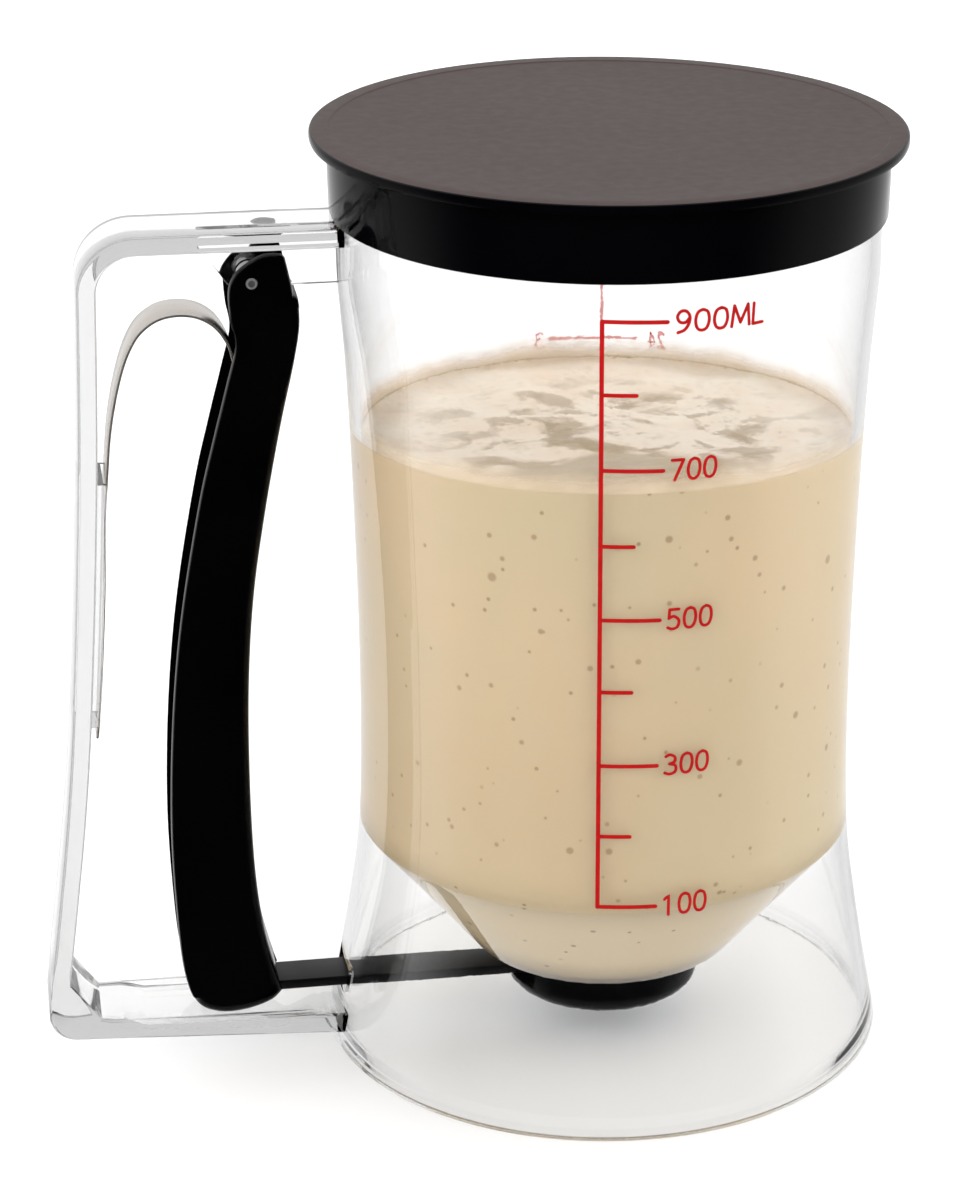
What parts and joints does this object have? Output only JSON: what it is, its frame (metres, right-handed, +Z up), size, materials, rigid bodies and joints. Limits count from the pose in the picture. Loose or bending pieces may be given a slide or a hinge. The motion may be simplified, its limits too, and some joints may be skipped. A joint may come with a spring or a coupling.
{
  "type": "batter dispenser",
  "caption": "Clear hourglass batter jug on a flared stand, with a push-on lid, a side handle and a sprung squeeze trigger that draws a gate off the outlet.",
  "frame": {"origin": "on the jug's axis at table level, the centre of the foot ring's mouth", "axes": "+Z up along the jug axis; the handle points to -X; the printed scale faces -Y"},
  "size_m": [0.1667, 0.111, 0.1831],
  "materials": {
    "clear_plastic": "gloss",
    "black_plastic": "gloss",
    "lid_plastic": "satin",
    "spring_steel": "satin",
    "silicone": "matte"
  },
  "bodies": {
    "jug": {"cup_wall": "clear_plastic", "funnel": "clear_plastic", "stand_skirt": "clear_plastic", "outlet_neck": "clear_plastic", "seal_ring": "silicone", "handle_top_arm": "clear_plastic", "handle_grip_bar": "clear_plastic", "handle_lower_arm": "clear_plastic", "handle_gusset": "clear_plastic", "pivot_rib": "clear_plastic", "spring_guide": "clear_plastic", "hinge_pin": "spring_steel", "leaf_spring": "spring_steel"},
    "trigger": {"trigger_lever": "black_plastic", "drive_pin": "black_plastic"},
    "gate": {"gate_blade": "black_plastic", "gate_eye": "black_plastic"},
    "collar": {"valve_collar": "black_plastic"},
    "lid": {"lid_disc": "lid_plastic", "lid_skirt": "black_plastic"}
  },
  "joints": [
    {"name": "trigger_hinge", "type": "hinge", "parent": "jug", "child": "trigger", "pos_m": [-0.0674, 0, 0.1578], "axis": [0, 1, 0], "range_deg": [0, 8], "stiffness_Nm_per_rad": 2, "springref_deg": -8.59, "deforming": ["leaf_spring"]},
    {"name": "gate_slide", "type": "slide", "parent": "jug", "child": "gate", "axis": [-1, 0, 0], "range_m": [0, 0.02]},
    {"name": "collar_twist", "type": "hinge", "parent": "jug", "child": "collar", "pos_m": [0, 0, 0.0122], "axis": [0, 0, 1], "range_deg": [0, 15]},
    {"name": "lid_lift", "type": "slide", "parent": "jug", "child": "lid", "axis": [0, 0, 1], "range_m": [0, 0.04]}
  ],
  "couplings": [
    {"joint": "gate_slide", "follows": "trigger_hinge", "m_per_rad": 0.1425}
  ]
}
